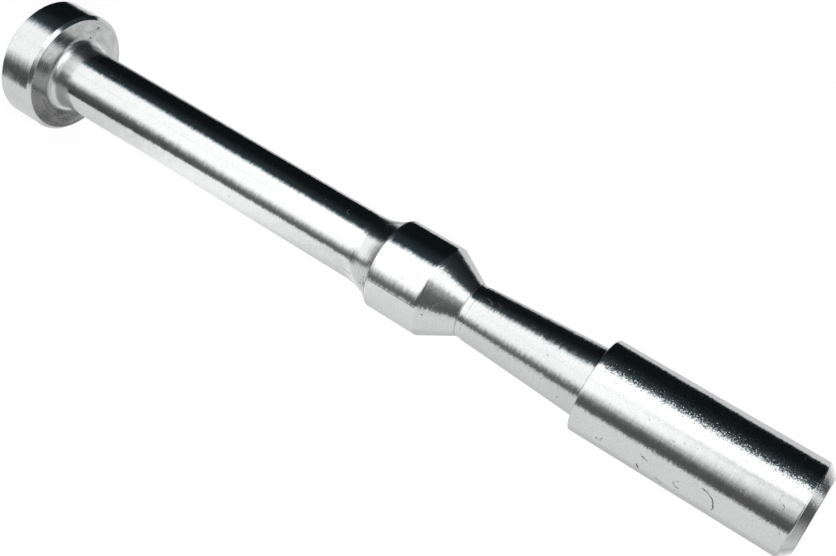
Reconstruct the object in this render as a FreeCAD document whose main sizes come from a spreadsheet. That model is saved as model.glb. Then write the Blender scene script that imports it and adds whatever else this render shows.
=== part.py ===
import FreeCAD, Part
import math
import os
import Sketcher

# Nibbler punch: one piece of hardened tool steel, turned and then ground.
# It stands on its head. +Z is its axis and points to the cutting end, and the
# origin is the centre of the head's flat back. Lengths are in millimetres.

NODE = "punch"

# Driving sizes, from the head up
SIZES = {
    "head_diameter": 11.4,
    "head_thickness": 3.6,
    "head_back_radius": 0.15,
    "head_face_chamfer": 0.3,
    "shank_diameter": 6.0,
    "shank_length": 34.0,
    "shank_root_radius": 0.75,
    "flare_radius": 4.6,
    "collar_diameter": 8.1,
    "collar_length": 4.75,
    "collar_back_radius": 0.2,
    "collar_front_radius": 0.4,
    "cone_half_angle": 29.0,
    "relief_width": 0.6,
    "relief_depth": 0.06,
    "relief_root_radius": 0.5,
    "neck_root_diameter": 4.86,
    "neck_end_diameter": 6.04,
    "neck_length": 11.15,
    "cutting_diameter": 8.0,
    "cutting_length": 18.5,
    "cutting_edge_radius": 0.1,
    "end_chamfer": 0.8,
    "end_edge_radius": 0.3,
    "end_rim_radius": 0.25,
}

# The sketcher's numbers for a line's two ends, and for its own origin point
START, END = 1, 2
ORIGIN = (-1, START)

# How near a round edge lies to the corner that it is looked up by
MATCH = 1e-4


def add_sizes(doc):
    """The sheet of driving sizes: a name beside each plain number."""
    sheet = doc.addObject("Spreadsheet::Sheet", "sizes")
    for row, (name, value) in enumerate(SIZES.items(), start=1):
        sheet.set(f"A{row}", name)
        sheet.set(f"B{row}", str(value))
        sheet.setAlias(f"B{row}", name)
    doc.recompute()


def corner_points():
    """Corners of the half section as (radius, height), in order from the head's rim."""
    head = SIZES["head_diameter"] / 2
    shank = SIZES["shank_diameter"] / 2
    collar = SIZES["collar_diameter"] / 2
    neck_root = SIZES["neck_root_diameter"] / 2
    neck_end = SIZES["neck_end_diameter"] / 2
    cutting = SIZES["cutting_diameter"] / 2
    floor = neck_root - SIZES["relief_depth"]
    flare_rise = collar - shank
    flare_run = math.sqrt(flare_rise * (2 * SIZES["flare_radius"] - flare_rise))
    cone_run = (collar - floor) / math.tan(math.radians(SIZES["cone_half_angle"]))
    face = SIZES["head_thickness"]
    flare = face + SIZES["shank_length"]
    collar_back = flare + flare_run
    collar_front = collar_back + SIZES["collar_length"]
    relief = collar_front + cone_run
    neck = relief + SIZES["relief_width"]
    shoulder = neck + SIZES["neck_length"]
    end = shoulder + SIZES["cutting_length"]
    return {
        "head_back": (head, 0),
        "head_face": (head, face),
        "shank_root": (shank, face),
        "flare_start": (shank, flare),
        "collar_back": (collar, collar_back),
        "collar_front": (collar, collar_front),
        "relief_root": (floor, relief),
        "relief_wall": (floor, neck),
        "neck_root": (neck_root, neck),
        "neck_end": (neck_end, shoulder),
        "cutting_edge": (cutting, shoulder),
        "end_rim": (cutting, end),
        "end_centre": (0, end),
    }


class HalfSection:
    """The sketch of the punch's half section: across is the radius, up is the height."""

    def __init__(self, body):
        self.sketch = body.newObject("Sketcher::SketchObject", "half_section")
        plane = next(f for f in body.Origin.OriginFeatures if f.Role == "XZ_Plane")
        self.sketch.AttachmentSupport = [(plane, "")]
        self.sketch.MapMode = "FlatFace"

    def constrain(self, *terms):
        return self.sketch.addConstraint(Sketcher.Constraint(*terms))

    def bind(self, name, expression, *terms):
        """Adds a constraint and ties its value to the sheet."""
        self.sketch.renameConstraint(self.constrain(*terms), name)
        self.sketch.setExpression(f"Constraints.{name}", expression)

    def line(self, start, end):
        points = [FreeCAD.Vector(*place, 0) for place in (start, end)]
        return self.sketch.addGeometry(Part.LineSegment(*points), False)

    def flare(self, start, end):
        """The concave arc that leaves the shank in line with it and ends at the collar."""
        radius = SIZES["flare_radius"]
        centre = FreeCAD.Vector(start[0] + radius, start[1], 0)
        circle = Part.Circle(centre, FreeCAD.Vector(0, 0, 1), radius)
        sweep = math.acos(1 - (end[0] - start[0]) / radius)
        return self.sketch.addGeometry(Part.ArcOfCircle(circle, math.pi - sweep, math.pi), False)

    def draw(self):
        """Draws the section, joins its corners and ties each size to the sheet."""
        at = corner_points()
        back = self.line((0, 0), at["head_back"])
        rim = self.line(at["head_back"], at["head_face"])
        face = self.line(at["head_face"], at["shank_root"])
        shank = self.line(at["shank_root"], at["flare_start"])
        flare = self.flare(at["flare_start"], at["collar_back"])
        collar = self.line(at["collar_back"], at["collar_front"])
        cone = self.line(at["collar_front"], at["relief_root"])
        floor = self.line(at["relief_root"], at["relief_wall"])
        wall = self.line(at["relief_wall"], at["neck_root"])
        neck = self.line(at["neck_root"], at["neck_end"])
        shoulder = self.line(at["neck_end"], at["cutting_edge"])
        cutting = self.line(at["cutting_edge"], at["end_rim"])
        end = self.line(at["end_rim"], at["end_centre"])
        axis = self.line(at["end_centre"], (0, 0))

        # Corners, with the flare in line with the shank where it leaves it
        self.constrain("Coincident", back, START, *ORIGIN)
        self.constrain("Tangent", shank, END, flare, END)
        self.constrain("Coincident", flare, START, collar, START)
        outline = [collar, cone, floor, wall, neck, shoulder, cutting, end, axis, back, rim, face, shank]
        for side, following in zip(outline, outline[1:]):
            self.constrain("Coincident", side, END, following, START)
        for level in (back, face, wall, shoulder, end):
            self.constrain("Horizontal", level)
        for upright in (rim, shank, collar, floor, cutting, axis):
            self.constrain("Vertical", upright)

        # Radii, measured from the axis
        self.radius("head_radius", "sizes.head_diameter / 2", rim, START)
        self.radius("shank_radius", "sizes.shank_diameter / 2", shank, START)
        self.radius("collar_radius", "sizes.collar_diameter / 2", collar, START)
        self.radius("floor_radius", "sizes.neck_root_diameter / 2 - sizes.relief_depth", floor, START)
        self.radius("neck_root_radius", "sizes.neck_root_diameter / 2", neck, START)
        self.radius("neck_end_radius", "sizes.neck_end_diameter / 2", neck, END)
        self.radius("cutting_radius", "sizes.cutting_diameter / 2", cutting, START)
        self.bind("flare_curve", "sizes.flare_radius", "Radius", flare, SIZES["flare_radius"])

        # Lengths along the axis
        self.length("head_height", "sizes.head_thickness", rim)
        self.length("shank_height", "sizes.shank_length", shank)
        self.length("collar_height", "sizes.collar_length", collar)
        cone_fall = "(sizes.collar_diameter / 2 - sizes.neck_root_diameter / 2 + sizes.relief_depth)"
        self.length("cone_height", cone_fall + " / tan(sizes.cone_half_angle * 1 deg)", cone)
        self.length("relief_height", "sizes.relief_width", floor)
        self.length("neck_height", "sizes.neck_length", neck)
        self.length("cutting_height", "sizes.cutting_length", cutting)
        return self.sketch

    def radius(self, name, expression, side, end):
        value = self.sketch.getPoint(side, end).x
        self.bind(name, expression, "DistanceX", *ORIGIN, side, end, value)

    def length(self, name, expression, side):
        value = self.sketch.getPoint(side, END).y - self.sketch.getPoint(side, START).y
        self.bind(name, expression, "DistanceY", side, START, side, END, value)


def ring_edge(feature, corner):
    """Name of the round edge that a corner of the half section makes."""
    radius, height = corner
    for number, edge in enumerate(feature.Shape.Edges, start=1):
        curve = edge.Curve
        if not isinstance(curve, Part.Circle):
            continue
        if abs(curve.Radius - radius) < MATCH and abs(curve.Center.z - height) < MATCH:
            return f"Edge{number}"
    raise ValueError(f"{feature.Label} has no round edge at radius {radius}, height {height}")


def dress(body, kind, name, corner, size):
    """Adds a fillet or a chamfer on one round edge, tied to the sheet."""
    base = body.Tip
    dressing = body.newObject(f"PartDesign::{kind}", name)
    dressing.Base = (base, [ring_edge(base, corner)])
    dressing.setExpression("Radius" if kind == "Fillet" else "Size", f"sizes.{size}")
    body.Document.recompute()


def make_punch(doc):
    """The punch: one turned blank, then its chamfers and rounded edges."""
    body = doc.addObject("PartDesign::Body", NODE)
    body.Label = NODE
    section = HalfSection(body).draw()
    blank = body.newObject("PartDesign::Revolution", "blank")
    blank.Profile = section
    blank.ReferenceAxis = (section, ["V_Axis"])
    blank.Angle = 360.0
    doc.recompute()
    at = corner_points()
    dress(body, "Chamfer", "head_face_bevel", at["head_face"], "head_face_chamfer")
    dress(body, "Chamfer", "end_bevel", at["end_rim"], "end_chamfer")
    dress(body, "Fillet", "head_back_edge", at["head_back"], "head_back_radius")
    dress(body, "Fillet", "shank_root", at["shank_root"], "shank_root_radius")
    dress(body, "Fillet", "collar_back_edge", at["collar_back"], "collar_back_radius")
    dress(body, "Fillet", "collar_front_edge", at["collar_front"], "collar_front_radius")
    dress(body, "Fillet", "relief_root", at["relief_root"], "relief_root_radius")
    dress(body, "Fillet", "cutting_edge", at["cutting_edge"], "cutting_edge_radius")
    radius, height = at["end_rim"]
    bevel_edge = (radius, height - SIZES["end_chamfer"])
    dress(body, "Fillet", "end_bevel_edge", bevel_edge, "end_edge_radius")
    bevel_rim = (radius - SIZES["end_chamfer"], height)
    dress(body, "Fillet", "end_bevel_rim", bevel_rim, "end_rim_radius")
    body.Placement = FreeCAD.Placement()
    return body


def check(doc, bodies):
    """Stops at a failed object or a bad solid, before anything is written."""
    for item in doc.Objects:
        if "Invalid" in item.State or "Error" in item.State:
            raise ValueError(f"{item.Label} failed: {item.State}")
    for body in bodies:
        if body.Shape.isNull() or not body.Shape.isValid() or len(body.Shape.Solids) != 1:
            raise ValueError(f"{body.Label} is not one valid solid")


def main():
    doc = FreeCAD.newDocument("nibbler_punch")
    add_sizes(doc)
    bodies = [make_punch(doc)]
    doc.recompute()
    check(doc, bodies)
    os.makedirs("parts", exist_ok=True)
    for body in bodies:
        body.Shape.exportStep(f"parts/{body.Label}.step")
        box = body.Shape.BoundBox
        print(f"{body.Label}: {box.XLength:.3f} x {box.YLength:.3f} x {box.ZLength:.3f} mm, "
              f"{body.Shape.Volume:.2f} mm3")


main()
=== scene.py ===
import math

import bpy
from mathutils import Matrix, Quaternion, Vector

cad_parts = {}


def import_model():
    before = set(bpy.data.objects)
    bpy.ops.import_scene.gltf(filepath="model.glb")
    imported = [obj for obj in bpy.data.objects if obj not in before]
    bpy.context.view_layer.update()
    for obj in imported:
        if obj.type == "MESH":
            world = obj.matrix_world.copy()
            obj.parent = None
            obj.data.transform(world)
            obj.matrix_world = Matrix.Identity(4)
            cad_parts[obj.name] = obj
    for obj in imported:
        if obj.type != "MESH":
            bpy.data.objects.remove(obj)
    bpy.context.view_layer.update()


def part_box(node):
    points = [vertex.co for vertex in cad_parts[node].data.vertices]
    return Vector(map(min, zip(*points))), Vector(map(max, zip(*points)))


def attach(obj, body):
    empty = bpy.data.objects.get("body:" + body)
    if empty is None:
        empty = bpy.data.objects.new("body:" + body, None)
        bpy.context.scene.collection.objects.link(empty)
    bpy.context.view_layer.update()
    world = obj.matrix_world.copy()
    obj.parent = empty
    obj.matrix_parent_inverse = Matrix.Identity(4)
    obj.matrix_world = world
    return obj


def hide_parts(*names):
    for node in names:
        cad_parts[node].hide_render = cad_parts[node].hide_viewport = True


# The looks of a nibbler punch in ground tool steel, standing on its head.
# Sizes are in millimetres up to the mesh, and the mesh is in metres.

MM = 0.001
DEGREES = 180 / math.pi
NOISE_MEAN = 0.5
WHITE = (1, 1, 1, 1)

# The punch, from the head up
HEAD_THICKNESS = 3.6
HEAD_CHAMFER = 0.3
SHANK_RADIUS = 3.0
SHANK_LENGTH = 34.0
FLARE_RADIUS = 4.6
COLLAR_RADIUS = 4.05
COLLAR_LENGTH = 4.75
CONE_HALF_ANGLE = 29.0
RELIEF_WIDTH = 0.6
RELIEF_RADIUS = 2.37
NECK_ROOT_RADIUS = 2.43
NECK_END_RADIUS = 3.02
NECK_LENGTH = 11.15
CUTTING_RADIUS = 4.0
CUTTING_LENGTH = 18.5
END_CHAMFER = 0.8

# Edge and root radii
HEAD_BACK_EDGE = 0.15
HEAD_CHAMFER_EDGE = 0.05
SHANK_ROOT = 0.75
COLLAR_BACK_EDGE = 0.2
COLLAR_FRONT_EDGE = 0.4
RELIEF_ROOT = 0.5
RELIEF_EDGE = 0.02
SHOULDER_ROOT = 0.08
CUTTING_EDGE = 0.1
END_CHAMFER_EDGE = 0.3
END_RIM_EDGE = 0.25

# How far from the plane of the head's face its own surface reaches
FACE_MARGIN = 0.02

# The flare is drawn up to this share of its sweep, which leaves room for the collar's edge radius
FLARE_SHARE = 0.86

# How finely the outline is turned. A long run also gets a point near each of its ends, which
# keeps the shading of its rounded edges off it.
TURN_STEPS = 288
ARC_STEPS = 8
RUN_STEP = 1.2
EDGE_STEP = 0.04
LONG_RUN = 6 * EDGE_STEP

# Points nearer than this, in metres, are merged where the turned skin closes
WELD_DISTANCE = 1e-7

# Added to a ring's number before it is rounded down, so that a whole one doesn't fall below itself
RING_MARGIN = 0.0001

# Edges of the mesh that turn by more than this stay sharp, in degrees
SHARP_ANGLE = 35

# The camera: it stands on the +X side and looks at a point near the punch's middle
LENS = 53.83
SENSOR_WIDTH = 36.0
CLIP_START = 0.005
CAMERA_DISTANCE = 102.51
CAMERA_HEIGHT_ANGLE = 20.305
CAMERA_TURN = 0.039
CAMERA_ROLL = -120.913
CAMERA_AIM = (0.0, -0.065, 43.0)

# The floor, in metres. Its own glow for the camera adds up to white with the light that falls on it.
FLOOR_HALF_SIDE = 4.0
FLOOR_DROP = 0.00001
FLOOR_COLOUR = (0.3, 0.3, 0.3, 1)
FLOOR_GLOW = 0.835

# The card that lights the head's face: a strip bent round the punch's axis
CARD_RADIUS = 30.0
CARD_START, CARD_END = -36.0, 14.0
CARD_LOW, CARD_HIGH = 18.0, 29.0
CARD_STEPS = 16
CARD_LEVEL = 2.6


class Value:
    """A socket of a node tree that takes part in Python sums."""

    def __init__(self, tree, socket):
        self.tree = tree
        self.socket = socket

    def __add__(self, other):
        return self.tree.math("ADD", self, other)

    def __sub__(self, other):
        return self.tree.math("SUBTRACT", self, other)

    def __rsub__(self, other):
        return self.tree.math("SUBTRACT", other, self)

    def __mul__(self, other):
        return self.tree.math("MULTIPLY", self, other)

    def __truediv__(self, other):
        return self.tree.math("DIVIDE", self, other)

    def __rtruediv__(self, other):
        return self.tree.math("DIVIDE", other, self)

    def __neg__(self):
        return self.tree.math("MULTIPLY", self, -1.0)

    __radd__ = __add__
    __rmul__ = __mul__


class Tree:
    """Builds a node tree: a node is made, set up and wired in one call."""

    def __init__(self, nodes):
        self.tree = nodes
        self.tree.nodes.clear()

    def node(self, kind, settings=None, inputs=None):
        """A node of that type, with its settings and then the values or links of its sockets."""
        node = self.tree.nodes.new(kind)
        for name, value in (settings or {}).items():
            setattr(node, name, value)
        for key, value in (inputs or {}).items():
            self.feed(node.inputs[key], value)
        return node

    def feed(self, socket, value):
        if isinstance(value, Value):
            self.tree.links.new(value.socket, socket)
        else:
            socket.default_value = value

    def out(self, node, key=0):
        return Value(self, node.outputs[key])

    def math(self, operation, *terms):
        return self.out(self.node("ShaderNodeMath", {"operation": operation}, dict(enumerate(terms))))

    def vector(self, operation, *terms):
        """Vector maths. The result is a vector."""
        return self.out(self.node("ShaderNodeVectorMath", {"operation": operation}, dict(enumerate(terms))))

    def scaled(self, vector, factor):
        inputs = {"Vector": vector, "Scale": factor}
        return self.out(self.node("ShaderNodeVectorMath", {"operation": "SCALE"}, inputs))

    def combined(self, x, y, z):
        return self.out(self.node("ShaderNodeCombineXYZ", None, {"X": x, "Y": y, "Z": z}))

    def rise(self, value, centre, half_width):
        """0 below the centre and 1 above it, with a smooth step of that half width."""
        inputs = {"Value": value, "From Min": centre - half_width, "From Max": centre + half_width}
        settings = {"interpolation_type": "SMOOTHSTEP"}
        return self.out(self.node("ShaderNodeMapRange", settings, inputs))

    def fall(self, value, centre, half_width):
        return 1.0 - self.rise(value, centre, half_width)

    def span(self, value, start, start_softness, end, end_softness):
        """1 between the start and the end, with a smooth step of those half widths at each."""
        return self.rise(value, start, start_softness) * self.fall(value, end, end_softness)

    def mix(self, factor, first, second):
        """A number between two others, from the Mix node's sockets for numbers."""
        settings = {"data_type": "FLOAT"}
        return self.out(self.node("ShaderNodeMix", settings, {0: factor, 2: first, 3: second}))

    def mix_colour(self, factor, first, second):
        """A colour between two others, from its sockets for colours."""
        settings = {"data_type": "RGBA", "blend_type": "MIX"}
        node = self.node("ShaderNodeMix", settings, {0: factor, 6: first, 7: second})
        return self.out(node, 2)

    def noise(self, vector, scale, detail, roughness):
        inputs = {"Vector": vector, "Scale": scale, "Detail": detail, "Roughness": roughness}
        return self.out(self.node("ShaderNodeTexNoise", {"noise_dimensions": "3D"}, inputs))


def heights():
    """Heights of the punch's steps, from the back of its head."""
    flare = HEAD_THICKNESS + SHANK_LENGTH
    rise = COLLAR_RADIUS - SHANK_RADIUS
    collar = flare + math.sqrt(rise * (2 * FLARE_RADIUS - rise))
    cone = collar + COLLAR_LENGTH
    relief = cone + (COLLAR_RADIUS - RELIEF_RADIUS) / math.tan(math.radians(CONE_HALF_ANGLE))
    neck = relief + RELIEF_WIDTH
    shoulder = neck + NECK_LENGTH
    end = shoulder + CUTTING_LENGTH
    return {"rim": HEAD_THICKNESS - FACE_MARGIN, "face": HEAD_THICKNESS + FACE_MARGIN, "flare": flare,
            "collar": collar, "cone": cone, "relief": relief, "neck": neck, "shoulder": shoulder,
            "bevel": end - END_CHAMFER, "end": end}


def flare_points(start):
    """The concave flare between the shank and the collar, up to near the collar's edge."""
    sweep = math.acos(1 - (COLLAR_RADIUS - SHANK_RADIUS) / FLARE_RADIUS)
    points = []
    for step in range(2 * ARC_STEPS + 1):
        turn = sweep * step / (2 * ARC_STEPS) * FLARE_SHARE
        radius = SHANK_RADIUS + FLARE_RADIUS * (1 - math.cos(turn))
        points.append((radius, start + FLARE_RADIUS * math.sin(turn), 0))
    return points


def corners(head_radius, end):
    """Corners of the half section as (radius, height, edge radius), from the head's back up."""
    at = heights()
    face = HEAD_THICKNESS
    return [
        (0, 0, 0),
        (head_radius, 0, HEAD_BACK_EDGE),
        (head_radius, face - HEAD_CHAMFER, HEAD_CHAMFER_EDGE),
        (head_radius - HEAD_CHAMFER, face, HEAD_CHAMFER_EDGE),
        (SHANK_RADIUS, face, SHANK_ROOT),
        *flare_points(at["flare"]),
        (COLLAR_RADIUS, at["collar"], COLLAR_BACK_EDGE),
        (COLLAR_RADIUS, at["cone"], COLLAR_FRONT_EDGE),
        (RELIEF_RADIUS, at["relief"], RELIEF_ROOT),
        (RELIEF_RADIUS, at["neck"], RELIEF_EDGE),
        (NECK_ROOT_RADIUS, at["neck"], RELIEF_EDGE),
        (NECK_END_RADIUS, at["shoulder"], SHOULDER_ROOT),
        (CUTTING_RADIUS, at["shoulder"], CUTTING_EDGE),
        (CUTTING_RADIUS, end - END_CHAMFER, END_CHAMFER_EDGE),
        (CUTTING_RADIUS - END_CHAMFER, end, END_RIM_EDGE),
        (0, end, 0),
    ]


def rounded(before, corner, after, radius):
    """Points of the arc that rounds a corner and touches both of its sides."""
    if radius == 0:
        return [corner]
    to_before = (before - corner).normalized()
    to_after = (after - corner).normalized()
    half_angle = to_before.angle(to_after) / 2
    reach = radius / math.tan(half_angle)
    centre = corner + (to_before + to_after).normalized() * (radius / math.sin(half_angle))
    first = corner + to_before * reach - centre
    last = corner + to_after * reach - centre
    sweep = first.angle_signed(last)
    points = []
    for step in range(ARC_STEPS + 1):
        turn = -sweep * step / ARC_STEPS
        across = first.x * math.cos(turn) - first.y * math.sin(turn)
        along = first.x * math.sin(turn) + first.y * math.cos(turn)
        points.append(centre + Vector((across, along)))
    return points


def half_section(head_radius, end):
    """The punch's half section, with its edges rounded and its long runs divided."""
    given = corners(head_radius, end)
    places = [Vector(corner[:2]) for corner in given]
    outline = [places[0]]
    for before, corner, after, (_, _, radius) in zip(places, places[1:], places[2:], given[1:]):
        outline.extend(rounded(before, corner, after, radius))
    outline.append(places[-1])
    divided = [outline[0]]
    for start, stop in zip(outline, outline[1:]):
        run = (stop - start).length
        pieces = max(1, round(run / RUN_STEP))
        shares = [step / pieces for step in range(1, pieces + 1)]
        if run > LONG_RUN:
            shares = sorted([EDGE_STEP / run, 1 - EDGE_STEP / run, *shares])
        divided.extend(start.lerp(stop, share) for share in shares)
    return divided


def turning_tree():
    """Geometry nodes that turn a half section, given as points in the XZ plane, round the Z axis."""
    group = bpy.data.node_groups.new("turning", "GeometryNodeTree")
    tree = Tree(group)
    for name, kind in (("Half section", "NodeSocketGeometry"), ("Turn steps", "NodeSocketInt"),
                       ("Finish", "NodeSocketMaterial")):
        group.interface.new_socket(name, in_out="INPUT", socket_type=kind)
    group.interface.new_socket("Geometry", in_out="OUTPUT", socket_type="NodeSocketGeometry")
    given = tree.node("NodeGroupInput")
    section, steps, finish = (tree.out(given, name) for name in ("Half section", "Turn steps", "Finish"))
    size = tree.node("GeometryNodeAttributeDomainSize", None, {"Geometry": section})
    rings = tree.out(size, "Point Count")
    grid = tree.node("GeometryNodeMeshGrid", None, {"Vertices X": rings, "Vertices Y": steps + 1})
    index = tree.out(tree.node("GeometryNodeInputIndex"))
    ring = tree.math("FLOOR", index / (steps + 1) + RING_MARGIN)
    turn = (index - ring * (steps + 1)) / steps * (2 * math.pi)
    place = tree.out(tree.node("GeometryNodeInputPosition"))
    sampled = tree.node("GeometryNodeSampleIndex", {"data_type": "FLOAT_VECTOR"},
                        {"Geometry": section, "Value": place, "Index": ring})
    parts = tree.node("ShaderNodeSeparateXYZ", None, {0: tree.out(sampled)})
    radius, height = tree.out(parts, "X"), tree.out(parts, "Z")
    turned = tree.combined(radius * tree.math("COSINE", turn), radius * tree.math("SINE", turn), height)
    placed = tree.node("GeometryNodeSetPosition", None, {"Geometry": tree.out(grid), "Position": turned})
    merged = tree.node("GeometryNodeMergeByDistance", None,
                       {"Geometry": tree.out(placed), "Distance": WELD_DISTANCE})
    real = tree.node("GeometryNodeRealizeInstances", None, {"Geometry": tree.out(merged)})
    dressed = tree.node("GeometryNodeSetMaterial", None, {"Geometry": tree.out(real), "Material": finish})
    tree.node("NodeGroupOutput", None, {0: tree.out(dressed)})
    return group


def turned_piece(name, outline, finish):
    """A mesh piece turned from a half section."""
    section = bpy.data.meshes.new(name + "_section")
    section.from_pydata([(p.x * MM, 0, p.y * MM) for p in outline], [], [])
    blank = bpy.data.objects.new(name + "_blank", section)
    bpy.context.scene.collection.objects.link(blank)
    modifier = blank.modifiers.new("turning", "NODES")
    modifier.node_group = turning_tree()
    inputs = {item.name: item.identifier for item in modifier.node_group.interface.items_tree}
    modifier[inputs["Turn steps"]] = TURN_STEPS
    modifier[inputs["Finish"]] = finish
    bpy.context.view_layer.update()
    evaluated = blank.evaluated_get(bpy.context.evaluated_depsgraph_get())
    mesh = bpy.data.meshes.new_from_object(evaluated)
    bpy.data.objects.remove(blank)
    mesh.name = name
    piece = bpy.data.objects.new(name, mesh)
    bpy.context.scene.collection.objects.link(piece)
    return piece


# The surface of each stretch, from the head up: the name of its upper end in the outline's
# heights, the tilt of its ground lines, of its speckle, of its turned rings and of its
# lengthwise streaks, its roughness and its brightness. Tilts are shares of the normal.
STRETCHES = (
    ("rim", 0.10, 0.07, 0.04, 0.02, 0.15, 1.0),
    ("face", 0.08, 0.15, 0.14, 0.02, 0.27, 0.98),
    ("flare", 0.14, 0.06, 0.03, 0.015, 0.13, 1.02),
    ("collar", 0.12, 0.06, 0.20, 0.015, 0.22, 1.0),
    ("cone", 0.13, 0.05, 0.04, 0.010, 0.12, 1.07),
    ("relief", 0.16, 0.18, 0.07, 0.010, 0.20, 1.02),
    ("neck", 0.06, 0.08, 0.10, 0.010, 0.15, 1.0),
    ("shoulder", 0.18, 0.15, 0.05, 0.015, 0.22, 0.95),
    ("bevel", 0.10, 0.09, 0.03, 0.055, 0.15, 1.02),
    ("end", 0.06, 0.09, 0.10, 0.020, 0.19, 1.0),
)

# The steel's patterns: features per radian round the punch and per millimetre along its outline,
# detail, roughness of the detail, and a shift that keeps one pattern apart from the next
GRAINS = {
    "cloud": (1.6, 0.35, 3.0, 0.55, 20.0),
    "lines": (5.0, 7.0, 3.0, 0.62, 0.0),
    "rings": (0.8, 9.0, 2.0, 0.6, 40.0),
    "streaks": (30.0, 0.06, 3.0, 0.6, 60.0),
    "speckle": (24.0, 7.0, 3.0, 0.62, 80.0),
    "frost": (30.0, 8.5, 2.0, 0.6, 100.0),
    "mottle": (4.0, 1.6, 3.0, 0.6, 140.0),
    "wobble": (6.0, 1.7, 3.0, 0.6, 7.0),
    "uneven": (12.0, 3.0, 2.0, 0.5, 3.0),
    "pits": (11.0, 3.6, 2.0, 0.5, 120.0),
    "broken": (3.0, 2.0, 2.0, 0.6, 5.0),
}

# How much the cloud, the speckle and the rings change the steel's brightness
CLOUD_SHADE = 0.12
SPECKLE_SHADE = 0.36
RING_SHADE = 1.4

# How much rougher the cloud, the frost and the marks make it
CLOUD_ROUGHNESS = 0.05
FROST_ROUGHNESS = 0.04
MARK_ROUGHNESS = 0.55

# Where the cutting end is frosted by wear, in degrees round the punch, and how far from the
# shoulder the frost starts
FROST_MIDDLE = -31.0
FROST_HALF_WIDTH = 22.0
FROST_SOFTNESS = 12.0
FROST_START = 0.4
FROST_START_SOFTNESS = 0.5

# How far the frost tilts the surface, evenly and in its sparse sparks
FROST_TILT = 0.24
SPARK_TILT = 9.0

# How far the surface is uneven over about a millimetre
MOTTLE_TILT = 0.07

# How much of the speckle's tilt goes along the outline
SPECKLE_ALONG = 0.3

# How far the head's face leans outwards at its edge on the -X side. It runs out on the +X side.
CROWN_TILT = 0.11

# The grinding stops short of the head: the shank is rougher up to about this far from it
ROOT_START = 0.1
ROOT_START_SOFTNESS = 0.05
ROOT_REACH = 1.5
ROOT_SOFTNESS = 1.0
ROOT_ROUGHNESS = 0.16

# How far a scratch wanders round the girth and how much of that along the outline
WOBBLE = 0.85
WOBBLE_ALONG = 0.7

# How soft the sides of a mark and of a corner's painted shade line are, as a share of its half width, and
# how soft the ends of a curl are, as a cosine
MARK_SOFTNESS = 0.7
CORNER_SOFTNESS = 0.8
CURL_END_SOFTNESS = 0.1

# How the depth of the marks and of the corners' painted shade lines comes and goes: its mean and its swing
MARK_DEPTH, MARK_SWING = 0.75, 2.6
CORNER_DEPTH, CORNER_SWING = 0.6, 1.8

# Pits are where their pattern is above this, and how deep they are
PIT_START = 0.23
PIT_SOFTNESS = 0.03
PIT_DEPTH = 0.45

# Painted shade: dark lines painted in the corners of the outline, where shade falls: height, half width and
# depth
PAINTED_CORNER_SHADES = (
    (3.62, 0.05, 0.35),
    (40.46, 0.04, 0.75),
    (48.34, 0.045, 0.70),
    (48.90, 0.04, 0.70),
    (60.02, 0.06, 0.60),
    (77.70, 0.03, 0.25),
)

# Straight scratches: angle round the punch, height, radius, half length, lean from the girth,
# half width and depth. Angles are in degrees.
SCRATCHES = (
    (-22.4, 68.94, 4.00, 0.36, 66, 0.035, 0.9),
    (-23.6, 71.12, 4.00, 0.34, 60, 0.030, 0.9),
    (-43.0, 67.18, 4.00, 0.26, 85, 0.030, 0.35),
    (-24.8, 72.39, 4.00, 0.23, 95, 0.040, 0.8),
    (-52.9, 76.06, 4.00, 0.20, 36, 0.040, 0.6),
    (-65.4, 61.06, 4.00, 0.21, 58, 0.040, 0.6),
    (62.0, 66.17, 4.00, 0.20, 25, 0.080, 1.2),
    (42.5, 66.40, 4.00, 0.39, 65, 0.050, 1.1),
    (64.7, 67.95, 4.00, 0.28, 57, 0.055, 1.1),
    (15.9, 73.72, 4.00, 0.14, 66, 0.050, 0.8),
    (55.0, 38.08, 3.04, 0.22, 87, 0.050, 1.0),
    (17.4, 46.67, 3.28, 0.60, 141, 0.030, 0.9),
    (39.2, 45.96, 3.67, 0.08, 77, 0.050, 0.9),
    (-67.0, 48.81, 2.40, 0.16, 152, 0.050, 0.7),
    (-36.6, 49.91, 2.48, 0.34, 61, 0.035, 0.9),
    (-37.8, 50.77, 2.53, 0.24, 70, 0.035, 0.7),
    (-53.9, 8.62, 3.00, 0.80, 56, 0.030, 0.35),
    (-44.9, 9.40, 3.00, 0.70, 28, 0.030, 0.35),
    (-28.1, 8.85, 3.00, 0.30, 103, 0.040, 0.6),
    (-81.0, 3.60, 4.74, 0.20, -132, 0.060, 1.0),
    (-62.1, 3.60, 3.73, 0.08, 136, 0.060, 0.9),
    (-74.6, 3.60, 3.69, 0.08, 149, 0.060, 0.9),
)

# Two straight lines left on the collar by its guide, in the same columns
GUIDE_LINES = (
    (27.5, 43.00, 4.05, 2.10, 90, 0.060, 0.25),
    (31.3, 43.00, 4.05, 2.25, 90, 0.060, 0.38),
)

# Curled scratches: angle, height and radius of the curl's middle, the curl's own radius, the
# direction of its middle seen from there, half its sweep, half width and depth
CURLS = (
    (51.8, 62.63, 4.00, 0.38, 43, 60, 0.050, 1.0),
    (25.1, 68.95, 4.00, 0.28, 9, 80, 0.045, 0.9),
    (51.0, 69.60, 4.00, 0.50, 318, 50, 0.050, 1.0),
    (50.2, 69.40, 4.00, 0.30, 250, 70, 0.040, 0.8),
    (53.7, 71.24, 4.00, 1.12, 131, 58, 0.050, 1.2),
    (12.3, 76.18, 4.00, 0.52, 119, 37, 0.040, 0.9),
    (-40.1, 35.89, 3.00, 0.37, 283, 67, 0.045, 0.9),
    (36.9, 38.56, 3.56, 1.43, 65, 27, 0.030, 0.8),
    (-26.0, 49.78, 2.49, 0.47, 155, 37, 0.035, 0.8),
)

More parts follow.
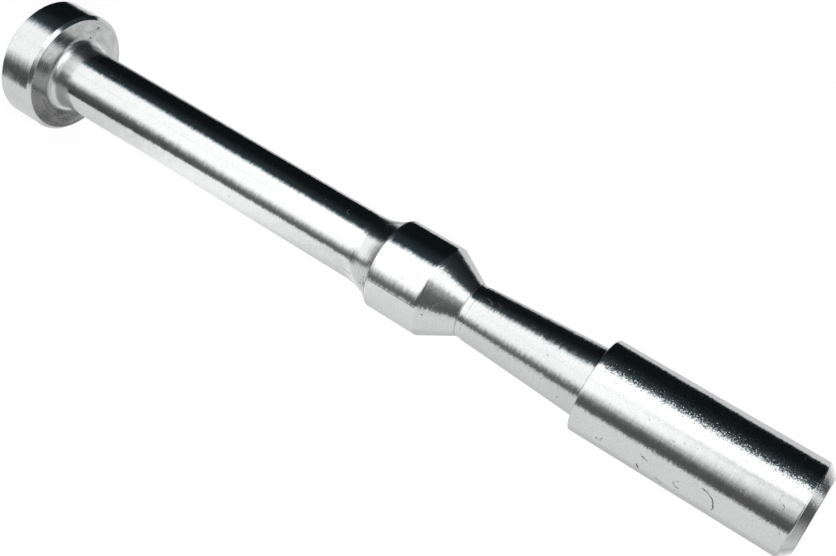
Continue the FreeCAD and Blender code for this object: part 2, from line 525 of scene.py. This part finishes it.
STEEL_COLOUR = (0.614, 0.622, 0.622, 1)
# Dark colour of the scratches and pits, which are wear, and of the painted shade in the corners
WEAR_AND_SHADE_COLOUR = (0.16, 0.16, 0.15, 1)
EDGE_REFLECTION = (0.76, 0.76, 0.76, 1)
ANISOTROPY = 0.4
ANISOTROPY_TURN = 0.25


class Skin:
    """Coordinates on the turned surface: round the girth and along the outline."""

    def __init__(self, tree):
        self.tree = tree
        place = tree.scaled(tree.out(tree.node("ShaderNodeTexCoord"), "Object"), 1 / MM)
        parts = tree.node("ShaderNodeSeparateXYZ", None, {0: place})
        x, y, self.height = (tree.out(parts, axis) for axis in "XYZ")
        self.radius = tree.math("SQRT", x * x + y * y)
        self.east, self.north = x / self.radius, y / self.radius
        self.run = self.height - self.radius
        self.angle = tree.math("ARCTAN2", y, x)
        self.normal = tree.out(tree.node("ShaderNodeNewGeometry"), "Normal")
        self.girth = tree.combined(-self.north, self.east, 0.0)
        self.meridian = tree.vector("CROSS_PRODUCT", self.girth, self.normal)

    def grain(self, name):
        """One of the steel's patterns, about zero."""
        around, along, detail, roughness, shift = GRAINS[name]
        vector = self.tree.combined(self.east * around, self.north * around, self.run * along + shift)
        return self.tree.noise(vector, 1.0, detail, roughness) - NOISE_MEAN

    def by_stretch(self, column):
        """A number that changes from stretch to stretch."""
        ends = heights()
        bottoms = [0.0, *(ends[row[0]] for row in STRETCHES[:-1])]
        ramp = self.tree.node("ShaderNodeValToRGB", None, {0: self.height / ends["end"]})
        ramp.color_ramp.interpolation = "CONSTANT"
        while len(ramp.color_ramp.elements) < len(STRETCHES):
            ramp.color_ramp.elements.new(0.5)
        for element, bottom, row in zip(ramp.color_ramp.elements, bottoms, STRETCHES):
            element.position = bottom / ends["end"]
            element.color = (row[column], row[column], row[column], 1)
        return self.tree.out(ramp)

    def around(self, angle, height, radius, wobble):
        """Millimetres round the girth and along the outline from one place."""
        across = (self.angle - math.radians(angle)) * radius + wobble
        return across, self.run - (height - radius) + wobble * WOBBLE_ALONG

    def scratch(self, angle, height, radius, half_length, lean, half_width, depth, wobble):
        tree = self.tree
        across, along = self.around(angle, height, radius, wobble)
        cos, sin = math.cos(math.radians(lean)), math.sin(math.radians(lean))
        over = tree.math("MAXIMUM", tree.math("ABSOLUTE", across * cos + along * sin) - half_length, 0.0)
        beside = along * cos - across * sin
        distance = tree.math("SQRT", over * over + beside * beside)
        return tree.fall(distance, half_width, half_width * MARK_SOFTNESS) * depth

    def curl(self, angle, height, radius, size, middle, half_sweep, half_width, depth, wobble):
        tree = self.tree
        across, along = self.around(angle, height, radius, wobble)
        cos, sin = math.cos(math.radians(middle)), math.sin(math.radians(middle))
        distance = tree.math("SQRT", across * across + along * along)
        facing = (across * cos + along * sin) / distance
        off_line = tree.math("ABSOLUTE", distance - size)
        line = tree.fall(off_line, half_width, half_width * MARK_SOFTNESS)
        return line * tree.rise(facing, math.cos(math.radians(half_sweep)), CURL_END_SOFTNESS) * depth

    def frost(self):
        """The share of the frosting by wear, on one side of the cutting end."""
        away = self.tree.math("ABSOLUTE", self.angle - math.radians(FROST_MIDDLE))
        side = self.tree.fall(away, math.radians(FROST_HALF_WIDTH), math.radians(FROST_SOFTNESS))
        start = heights()["shoulder"] + FROST_START
        return side * self.tree.rise(self.height, start, FROST_START_SOFTNESS)

    def on_face(self):
        """1 on the head's face and 0 elsewhere."""
        distance = self.tree.math("ABSOLUTE", self.height - HEAD_THICKNESS)
        return self.tree.math("LESS_THAN", distance, FACE_MARGIN)

    def unground(self):
        """The share of the turned finish at the shank's root, which the wheel doesn't reach."""
        start, end = HEAD_THICKNESS + ROOT_START, HEAD_THICKNESS + ROOT_REACH
        return self.tree.span(self.height, start, ROOT_START_SOFTNESS, end, ROOT_SOFTNESS)

    # A dark ring painted in a corner of the outline, where shade falls: painted shade
    def painted_corner_shade(self, height, half_width, depth):
        distance = self.tree.math("ABSOLUTE", self.height - height)
        return self.tree.fall(distance, half_width, half_width * CORNER_SOFTNESS) * depth

    def deepest(self, marks):
        """The deepest of several marks at each place."""
        total = marks[0]
        for mark in marks[1:]:
            total = self.tree.math("MAXIMUM", total, mark)
        return total

    def marks(self):
        """How deep the scratches, the pits and the painted shade in the corners are."""
        wobble = self.grain("wobble") * WOBBLE
        found = [self.scratch(*row, wobble) for row in SCRATCHES]
        found += [self.curl(*row, wobble) for row in CURLS]
        uneven = self.tree.math("MAXIMUM", MARK_DEPTH + MARK_SWING * self.grain("uneven"), 0.0)
        worn = self.deepest(found) * uneven
        guided = self.deepest([self.scratch(*row, 0.0) for row in GUIDE_LINES])
        pits = self.tree.rise(self.grain("pits"), PIT_START, PIT_SOFTNESS) * PIT_DEPTH
        # The corners' lines are painted shade, not wear
        corners = self.deepest([self.painted_corner_shade(*row) for row in PAINTED_CORNER_SHADES])
        broken = CORNER_DEPTH + CORNER_SWING * self.grain("broken")
        return self.deepest([worn, guided, pits, corners * broken])


def leaning_normal(skin, sideways, lengthways):
    """The surface's normal, leant round the girth and along the outline by those shares."""
    tree = skin.tree
    leaning = tree.vector("ADD", skin.normal, tree.scaled(skin.girth, sideways))
    leaning = tree.vector("ADD", leaning, tree.scaled(skin.meridian, lengthways))
    return tree.vector("NORMALIZE", leaning)


def steel(name):
    """Ground tool steel: its grain runs round the girth, over rings left by turning."""
    material = bpy.data.materials.new(name)
    material.use_nodes = True
    tree = Tree(material.node_tree)
    skin = Skin(tree)
    line_tilt, speckle_tilt, ring_tilt, streak_tilt, roughness, brightness = (
        skin.by_stretch(column) for column in range(1, len(STRETCHES[0])))
    cloud, lines, rings, streaks, speckle, frost, mottle = (skin.grain(pattern) for pattern in (
        "cloud", "lines", "rings", "streaks", "speckle", "frost", "mottle"))
    frosted = skin.frost()
    frost = (frost * FROST_TILT + frost * frost * frost * SPARK_TILT) * frosted
    # The marks hold the scratches and pits, which are wear, and the painted shade in the corners
    marks = tree.math("MINIMUM", skin.marks(), 1.0)

    sideways = lines * line_tilt + speckle * speckle_tilt + streaks * streak_tilt + frost
    lengthways = rings * ring_tilt + speckle * speckle_tilt * SPECKLE_ALONG + mottle * MOTTLE_TILT
    lengthways = lengthways + skin.on_face() * (1.0 - skin.east) * (CROWN_TILT / 2)
    normal = leaning_normal(skin, sideways, lengthways)

    shade = 1.0 + cloud * CLOUD_SHADE + speckle * SPECKLE_SHADE + rings * ring_tilt * RING_SHADE
    base = tree.mix_colour(marks, STEEL_COLOUR, WEAR_AND_SHADE_COLOUR)
    base = tree.scaled(base, shade * brightness)
    rough = roughness + cloud * CLOUD_ROUGHNESS + frosted * FROST_ROUGHNESS + marks * MARK_ROUGHNESS
    rough = rough + skin.unground() * ROOT_ROUGHNESS
    shader = tree.node("ShaderNodeBsdfPrincipled", None, {
        "Base Color": base, "Metallic": 1.0, "Roughness": rough, "Specular Tint": EDGE_REFLECTION,
        "Anisotropic": ANISOTROPY, "Anisotropic Rotation": ANISOTROPY_TURN, "Normal": normal})
    tree.node("ShaderNodeOutputMaterial", None, {"Surface": tree.out(shader)})
    return material


# The studio that the metal mirrors. Angles are in degrees: a turn goes round the punch from the
# camera's side, a height goes up from the horizon, a low goes down from it, and an away is a turn
# to either hand. An edge is a place and the half width of its soft step, and a span is the edge
# it starts with and the edge it ends with.

# White paper all round
PAPER = 0.97

# A brighter stretch of it on the grey card's side, which leans
STRETCH_GLOW = 0.52
STRETCH_TURN = (66.0, 7.0)
STRETCH_HEIGHTS = (-33.0, 2.4, -26.3, 4.6)
STRETCH_LEVEL_TURN = 80.0
STRETCH_LEAN = 0.025

# A brighter band low on the far side, more so beyond the flag
BAND_GLOW = 0.16
BAND_START_LOW = (38.3, 1.2)
BAND_END_LOW = (43.5, 2.0)
BAND_AWAY = (125.0, 20.0)
BAND_FLAG_GLOW = 0.25
BAND_FLAG_TURN = (-140.0, 20.0)

# Above that band the paper is dimmer beside the flag and straight behind
FRINGE_DIM = 0.34
FRINGE_LOW = (30.0, 6.0)
FRINGE_FLAG_TURN = (-100.0, 20.0)
FRINGE_BACK_TURN = (172.0, 8.0)

# It is a little dimmer too behind the card's side, from near the horizon up
HAZE_DIM = 0.12
HAZE_LOW = (12.0, 4.0)
HAZE_TURN = (132.0, 8.0)

# The far walls, with a lighter stretch
WALL = 0.63
WALL_HEIGHT = (25.0, 10.0)
WALL_AWAY = (108.0, 12.0)
WALL_GLOW = 0.25
WALL_GLOW_HEIGHTS = (34.5, 2.5, 50.0, 6.0)

# A light on the wall beyond the flag, seen in the head's face
WALL_LIGHT = 0.2
WALL_LIGHT_TURN = (-165.0, 10.0)
WALL_LIGHT_HEIGHTS = (30.0, 4.0, 52.0, 8.0)

# A grey canopy on the card's side
CANOPY = 0.30
CANOPY_TURNS = (58.0, 5.0, 118.0, 12.0)
CANOPY_HEIGHTS = (41.0, 2.0, 48.0, 4.0)

# A glow behind, just above the horizon
BACK_GLOW = 0.4
BACK_GLOW_AWAY = (148.0, 10.0)
BACK_GLOW_HEIGHTS = (4.0, 5.0, 31.0, 5.0)

# The dark ceiling and the light in it
CEILING = 0.10
CEILING_HEIGHT = (68.0, 16.0)
CEILING_LIGHT = 1.7
CEILING_LIGHT_TURN = -108.0
CEILING_LIGHT_REACH = (13.0, 8.0)
CEILING_LIGHT_HEIGHTS = (63.5, 3.5, 76.0, 6.0)

# A dark thing far behind, seen in the head's face
FAR_THING = 0.08
FAR_THING_TURN = (157.0, 7.0)
FAR_THING_HEIGHTS = (24.0, 4.0, 60.0, 8.0)

# The darker place straight below
STRAIGHT_BELOW = 0.62
STRAIGHT_BELOW_LOW = (73.0, 8.0)

# Below this height the sides of the softbox, the card and the flag run straight on, over and past
# the punch's foot. Each of the two lines is given by its slope and its shift across the floor.
BELOW_HEIGHT = (-46.0, 4.0)
DARK_SIDE_SLOPE, DARK_SIDE_SHIFT = 0.325, 0.276
GREY_SIDE_SLOPE, GREY_SIDE_SHIFT = 0.66, 0.29
DARK_SIDE_EDGE = (0.0, 0.04)
GREY_SIDE_EDGE = (-0.05, 0.05)

# The softbox. A side or a softness that changes on the way down has its soft steps after it, each
# an amount and the low where it comes.
SOFTBOX = 1.42
SOFTBOX_HEIGHTS = (-74.0, 9.0, 62.0, 9.0)
SOFTBOX_START = (-47.0, (2.8, 17.0, 5.0), (1.6, 39.0, 2.0))
SOFTBOX_START_SOFTNESS = (5.0, (2.5, 20.0, 6.0))
SOFTBOX_END = (27.0, (6.0, 14.0, 4.0))
SOFTBOX_END_SOFTNESS = (13.5, (3.5, 33.0, 3.0))
SOFTBOX_LEAN = 0.3

# Between these heights the softbox and the card reach further round
BULGE_HEIGHTS = (-32.0, 3.0, -17.0, 6.0)
BULGE_REACH = 5.5

# The softbox is brighter above its foot and, on the flag's side, about the horizon
UPPER_GLOW = 0.18
UPPER_GLOW_HEIGHT = (-35.5, 3.0)
INNER_GLOW = 0.25
INNER_GLOW_TURN = (-16.0, 6.0)
INNER_GLOW_HEIGHTS = (-14.0, 4.0, 3.0, 4.0)

# It has a darker seam, and beyond the seam it dims upwards, once more at its outer side
SEAM_DIM = 0.10
SEAM_TURN = -7.0
SEAM_REACH = (3.0, 4.0)
BEYOND_SEAM_DIM = 0.52
BEYOND_SEAM_TURN = (-13.0, 5.0)
BEYOND_SEAM_HEIGHT = (-4.0, 5.0)
SEAM_SHARE = 0.4
OUTER_DIM = 0.24
OUTER_DIM_TURN = (10.0, 6.0)
OUTER_DIM_HEIGHT = (-4.5, 3.0)

# The dark shelf above the softbox, the glint on its edge, the post on it and the things about it,
# which are a noise's scale, detail and roughness
SHELF = 0.05
SHELF_TURNS = (-8.0, 15.0, 62.0, 5.0)
SHELF_HEIGHTS = (24.0, 9.0, 45.5, 4.0)
GLINT = 0.27
GLINT_TURN = (12.0, 10.0)
GLINT_HEIGHT = (37.6, 1.2)
POST_GLOW = 0.07
POST_TURN = 31.0
POST_REACH = (5.0, 4.0)
THINGS_GLOW = 0.5
THINGS_NOISE = (14.0, 2.0, 0.6)

# The grey card at the softbox's side. Low down it widens by so many degrees for each degree, and
# below the sides' height it is a strip along its line.
GREY_CARD = 0.115
GREY_OVERLAP = 1.0
GREY_START_SOFTNESS = 16.0
GREY_END = 61.5
GREY_END_SOFTNESS = (5.0, (-1.5, 14.0, 4.0))
GREY_TOP = (60.0, 8.0)
GREY_STRIP_EDGE = (0.12, 0.10)
GREY_STRIP_FOOT = (-0.36, 0.14)
WIDENING = 1.5
WIDENING_START, WIDENING_REACH = 26.5, 10.5
WIDENING_END_LOW = (43.0, 2.5)

# It is lighter where it reaches further round and at its foot, and darker low on its outer side
GREY_BULGE_GLOW = 0.06
GREY_FOOT_GLOW = 0.10
GREY_FOOT_LOW = (50.0, 8.0)
GREY_OUTER_DIM = 0.07
GREY_OUTER_TURN = (58.0, 8.0)
GREY_OUTER_LOW = (33.0, 3.0)

# The black flag at the softbox's other side, and its cool tint
FLAG = 0.009
FLAG_TINT = (0.7, 1.0, 1.12, 1)
FLAG_START = (-126.5, (-11.0, 8.0, 8.5), (-7.0, 21.0, 8.0), (4.0, 38.3, 1.2), (-25.0, 43.5, 2.0))
FLAG_START_SOFTNESS = 3.0
FLAG_LEAN = 0.26
FLAG_END = (40.0, 20.0)
FLAG_TOP = (60.0, 5.0)

# It is less dark towards the softbox and high up
FLAG_SIDE_GLOW = 0.035
FLAG_SIDE_TURN = (-70.0, 18.0)
FLAG_UPPER_GLOW = 0.03
FLAG_UPPER_HEIGHT = (20.0, 8.0)
FLAG_EDGE_GLOW = 0.05
FLAG_EDGE_TURN = (-58.0, 10.0)
FLAG_EDGE_HEIGHT = (-14.0, 4.0)


class Studio:
    """How bright the studio is in each direction."""

    def __init__(self, tree, direction):
        self.tree = tree
        self.direction = direction
        parts = tree.node("ShaderNodeSeparateXYZ", None, {0: direction})
        self.x, self.y, z = (tree.out(parts, axis) for axis in "XYZ")
        self.turn = tree.math("ARCTAN2", self.y, self.x) * DEGREES
        self.height = tree.math("ARCSINE", z) * DEGREES
        self.low = tree.math("MAXIMUM", -self.height, 0.0)
        self.high = tree.math("MAXIMUM", self.height, 0.0)
        self.away = tree.math("ABSOLUTE", self.turn)
        self.below = tree.fall(self.height, *BELOW_HEIGHT)
        self.dark_side = self.y + self.x * DARK_SIDE_SLOPE + DARK_SIDE_SHIFT
        self.grey_side = self.y - self.x * GREY_SIDE_SLOPE - GREY_SIDE_SHIFT
        self.bulge = tree.span(self.height, *BULGE_HEIGHTS)
        self.softbox_start = self.stepped(*SOFTBOX_START) - SOFTBOX_LEAN * self.high
        self.softbox_start_softness = self.stepped(*SOFTBOX_START_SOFTNESS)
        self.softbox_end = self.stepped(*SOFTBOX_END) + BULGE_REACH * self.bulge

    def stepped(self, number, *steps):
        """A number that changes by soft steps on the way down."""
        for amount, *edge in steps:
            number = number + amount * self.tree.rise(self.low, *edge)
        return number

    def near(self, turn, reach):
        """1 near that turn, to both sides of it."""
        return self.tree.fall(self.tree.math("ABSOLUTE", self.turn - turn), *reach)

    def paper(self):
        """White paper, with its brighter stretch."""
        leaning = self.height + (self.turn - STRETCH_LEVEL_TURN) * STRETCH_LEAN
        stretch = self.tree.rise(self.turn, *STRETCH_TURN) * self.tree.span(leaning, *STRETCH_HEIGHTS)
        return PAPER + STRETCH_GLOW * stretch

    def far_paper(self, level):
        """The band low on the far side, and what is dimmer above it."""
        tree, turn, low = self.tree, self.turn, self.low
        foot = tree.rise(low, *BAND_START_LOW)
        glow = BAND_GLOW + BAND_FLAG_GLOW * tree.fall(turn, *BAND_FLAG_TURN)
        level = level + glow * foot * tree.fall(low, *BAND_END_LOW) * tree.rise(self.away, *BAND_AWAY)
        fringe = tree.fall(turn, *FRINGE_FLAG_TURN) + tree.rise(turn, *FRINGE_BACK_TURN)
        fringe = fringe * tree.rise(low, *FRINGE_LOW)
        level = level * (1.0 - FRINGE_DIM * fringe * (1.0 - foot))
        return level - HAZE_DIM * tree.fall(low, *HAZE_LOW) * tree.rise(turn, *HAZE_TURN)

    def walls(self, level):
        """The far walls with their lighter stretch, and the light beyond the flag."""
        tree, height = self.tree, self.height
        cover = tree.rise(height, *WALL_HEIGHT) * tree.rise(self.away, *WALL_AWAY)
        level = tree.mix(cover, level, WALL + WALL_GLOW * tree.span(height, *WALL_GLOW_HEIGHTS))
        light = tree.fall(self.turn, *WALL_LIGHT_TURN) * tree.span(height, *WALL_LIGHT_HEIGHTS)
        return level + WALL_LIGHT * light

    def canopy(self, level):
        cover = self.tree.span(self.turn, *CANOPY_TURNS) * self.tree.span(self.height, *CANOPY_HEIGHTS)
        return self.tree.mix(cover, level, CANOPY)

    def back_glow(self, level):
        glow = self.tree.rise(self.away, *BACK_GLOW_AWAY) * self.tree.span(self.height, *BACK_GLOW_HEIGHTS)
        return level + BACK_GLOW * glow

    def ceiling(self, level):
        tree = self.tree
        level = tree.mix(tree.rise(self.height, *CEILING_HEIGHT), level, CEILING)
        light = self.near(CEILING_LIGHT_TURN, CEILING_LIGHT_REACH)
        light = light * tree.span(self.height, *CEILING_LIGHT_HEIGHTS)
        return tree.mix(light, level, CEILING_LIGHT)

    def far_thing(self, level):
        cover = self.tree.rise(self.turn, *FAR_THING_TURN) * self.tree.span(self.height, *FAR_THING_HEIGHTS)
        return self.tree.mix(cover, level, FAR_THING)

    def straight_below(self, level):
        return self.tree.mix(self.tree.rise(self.low, *STRAIGHT_BELOW_LOW), level, STRAIGHT_BELOW)

    def softbox_level(self):
        tree, turn, height = self.tree, self.turn, self.height
        seam = self.near(SEAM_TURN, SEAM_REACH)
        level = SOFTBOX + UPPER_GLOW * tree.rise(height, *UPPER_GLOW_HEIGHT) - SEAM_DIM * seam
        inner = tree.fall(turn, *INNER_GLOW_TURN) * tree.span(height, *INNER_GLOW_HEIGHTS)
        beyond = tree.rise(turn, *BEYOND_SEAM_TURN) * tree.rise(height, *BEYOND_SEAM_HEIGHT)
        outer = tree.rise(turn, *OUTER_DIM_TURN) * tree.rise(height, *OUTER_DIM_HEIGHT)
        level = level + INNER_GLOW * inner
        level = level - BEYOND_SEAM_DIM * beyond * (1.0 + SEAM_SHARE * seam)
        return level - OUTER_DIM * outer

    def softbox(self, level):
        tree = self.tree
        start = (self.softbox_start, self.softbox_start_softness)
        end = (self.softbox_end, self.stepped(*SOFTBOX_END_SOFTNESS))
        cover_below = tree.rise(self.dark_side, *DARK_SIDE_EDGE) * tree.fall(self.grey_side, *GREY_SIDE_EDGE)
        cover = tree.mix(self.below, tree.span(self.turn, *start, *end), cover_below)
        cover = cover * tree.span(self.height, *SOFTBOX_HEIGHTS)
        return tree.mix(cover, level, self.softbox_level())

    def shelf(self, level):
        tree, turn, height = self.tree, self.turn, self.height
        cover = tree.span(turn, *SHELF_TURNS) * tree.span(height, *SHELF_HEIGHTS)
        glint = tree.rise(height, *GLINT_HEIGHT) * tree.fall(turn, *GLINT_TURN)
        glow = GLINT * glint + POST_GLOW * self.near(POST_TURN, POST_REACH)
        things = tree.math("MAXIMUM", tree.noise(self.direction, *THINGS_NOISE) - NOISE_MEAN, 0.0)
        return tree.mix(cover, level, SHELF + glow + THINGS_GLOW * things)

    def grey_level(self):
        tree, low = self.tree, self.low
        outer = tree.rise(self.turn, *GREY_OUTER_TURN) * tree.rise(low, *GREY_OUTER_LOW)
        level = GREY_CARD + GREY_BULGE_GLOW * self.bulge - GREY_OUTER_DIM * outer
        return level + GREY_FOOT_GLOW * tree.rise(low, *GREY_FOOT_LOW)

    def grey_card(self, level):
        tree, low = self.tree, self.low
        widening = tree.math("MAXIMUM", low - WIDENING_START, 0.0)
        widening = tree.math("MINIMUM", widening, WIDENING_REACH)
        start = (self.softbox_end - GREY_OVERLAP, GREY_START_SOFTNESS)
        end = (GREY_END + WIDENING * widening * tree.fall(low, *WIDENING_END_LOW),
               self.stepped(*GREY_END_SOFTNESS))
        strip = tree.fall(tree.math("ABSOLUTE", self.grey_side), *GREY_STRIP_EDGE)
        strip = strip * tree.rise(self.x, *GREY_STRIP_FOOT)
        cover = tree.mix(self.below, tree.span(self.turn, *start, *end), strip)
        cover = cover * tree.fall(self.height, *GREY_TOP)
        return tree.mix(cover, level, self.grey_level())

    def flag_level(self):
        tree, turn, height = self.tree, self.turn, self.height
        edge = tree.rise(turn, *FLAG_EDGE_TURN) * tree.rise(height, *FLAG_EDGE_HEIGHT)
        level = FLAG + FLAG_SIDE_GLOW * tree.rise(turn, *FLAG_SIDE_TURN)
        return level + FLAG_UPPER_GLOW * tree.rise(height, *FLAG_UPPER_HEIGHT) + FLAG_EDGE_GLOW * edge

    def flag_cover(self):
        """The share of the black flag."""
        tree, turn = self.tree, self.turn
        start = (self.stepped(*FLAG_START) - FLAG_LEAN * self.high, FLAG_START_SOFTNESS)
        cover = tree.fall(turn, self.softbox_start, self.softbox_start_softness)
        cover = tree.mix(self.below, cover, tree.fall(self.dark_side, *DARK_SIDE_EDGE))
        return cover * tree.span(turn, *start, *FLAG_END) * tree.fall(self.height, *FLAG_TOP)

    def level(self):
        """The studio's brightness, each thing laid over the ones before, and the flag's share."""
        level = self.paper()
        for layer in (self.far_paper, self.walls, self.canopy, self.back_glow, self.ceiling,
                      self.far_thing, self.straight_below, self.softbox, self.shelf, self.grey_card):
            level = layer(level)
        flag = self.flag_cover()
        return self.tree.mix(flag, level, self.flag_level()), flag


def studio_world():
    """The studio that the metal mirrors. The camera itself sees plain white."""
    world = bpy.data.worlds.new("studio")
    world.use_nodes = True
    tree = Tree(world.node_tree)
    direction = tree.out(tree.node("ShaderNodeTexCoord"), "Generated")
    level, flag = Studio(tree, direction).level()
    seen = tree.out(tree.node("ShaderNodeLightPath"), "Is Camera Ray")
    colour = tree.mix_colour(flag * (1.0 - seen), WHITE, FLAG_TINT)
    strength = tree.mix(seen, level, 1.0)
    lit = tree.node("ShaderNodeBackground", None, {"Color": colour, "Strength": strength})
    tree.node("ShaderNodeOutputWorld", None, {"Surface": tree.out(lit)})
    bpy.context.scene.world = world


def floor():
    """A plain white floor, which keeps the punch's shadow and isn't mirrored in the metal."""
    material = bpy.data.materials.new("white_floor")
    material.use_nodes = True
    tree = Tree(material.node_tree)
    paper = tree.node("ShaderNodeBsdfDiffuse", None, {"Color": FLOOR_COLOUR})
    seen = tree.out(tree.node("ShaderNodeLightPath"), "Is Camera Ray")
    glow = tree.node("ShaderNodeEmission", None, {"Color": WHITE, "Strength": seen * FLOOR_GLOW})
    both = tree.node("ShaderNodeAddShader", None, {0: tree.out(paper), 1: tree.out(glow)})
    tree.node("ShaderNodeOutputMaterial", None, {"Surface": tree.out(both)})
    mesh = bpy.data.meshes.new("floor")
    side = FLOOR_HALF_SIDE
    mesh.from_pydata([(-side, -side, -FLOOR_DROP), (side, -side, -FLOOR_DROP),
                      (side, side, -FLOOR_DROP), (-side, side, -FLOOR_DROP)], [], [(0, 1, 2, 3)])
    mesh.materials.append(material)
    sheet = bpy.data.objects.new("floor", mesh)
    bpy.context.scene.collection.objects.link(sheet)
    sheet.visible_glossy = False


def head_card():
    """A small bright card bent round the punch, which only the head's face mirrors."""
    material = bpy.data.materials.new("bright_card")
    material.use_nodes = True
    tree = Tree(material.node_tree)
    glow = tree.node("ShaderNodeEmission", None, {"Color": WHITE, "Strength": CARD_LEVEL})
    tree.node("ShaderNodeOutputMaterial", None, {"Surface": tree.out(glow)})
    points = []
    for step in range(CARD_STEPS + 1):
        turn = math.radians(CARD_START + (CARD_END - CARD_START) * step / CARD_STEPS)
        across, along = CARD_RADIUS * math.cos(turn), CARD_RADIUS * math.sin(turn)
        points += [(across * MM, along * MM, height * MM) for height in (CARD_LOW, CARD_HIGH)]
    faces = [(2 * step, 2 * step + 2, 2 * step + 3, 2 * step + 1) for step in range(CARD_STEPS)]
    mesh = bpy.data.meshes.new("head_card")
    mesh.from_pydata(points, [], faces)
    mesh.materials.append(material)
    card = bpy.data.objects.new("head_card", mesh)
    bpy.context.scene.collection.objects.link(card)
    card.visible_camera = False
    card.visible_diffuse = False
    card.visible_shadow = False


def camera():
    data = bpy.data.cameras.new("camera")
    data.lens = LENS
    data.sensor_width = SENSOR_WIDTH
    data.clip_start = CLIP_START
    view = bpy.data.objects.new("camera", data)
    bpy.context.scene.collection.objects.link(view)
    height, turn = math.radians(CAMERA_HEIGHT_ANGLE), math.radians(CAMERA_TURN)
    back = Vector((math.cos(turn) * math.cos(height), math.sin(turn) * math.cos(height), math.sin(height)))
    view.location = (Vector(CAMERA_AIM) + back * CAMERA_DISTANCE) * MM
    view.rotation_mode = "QUATERNION"
    roll = Quaternion((0, 0, 1), -math.radians(CAMERA_ROLL))
    view.rotation_quaternion = (-back).to_track_quat("-Z", "Y") @ roll
    bpy.context.scene.camera = view


def main():
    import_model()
    _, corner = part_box("punch")
    outline = half_section(corner.x / MM, corner.z / MM)
    punch = turned_piece("punch_body", outline, steel("ground_steel"))
    punch.data.shade_smooth()
    punch.data.set_sharp_from_angle(angle=math.radians(SHARP_ANGLE))
    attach(punch, "root")
    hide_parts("punch")
    floor()
    head_card()
    studio_world()
    camera()
    bpy.context.scene.view_settings.view_transform = "Standard"


main()
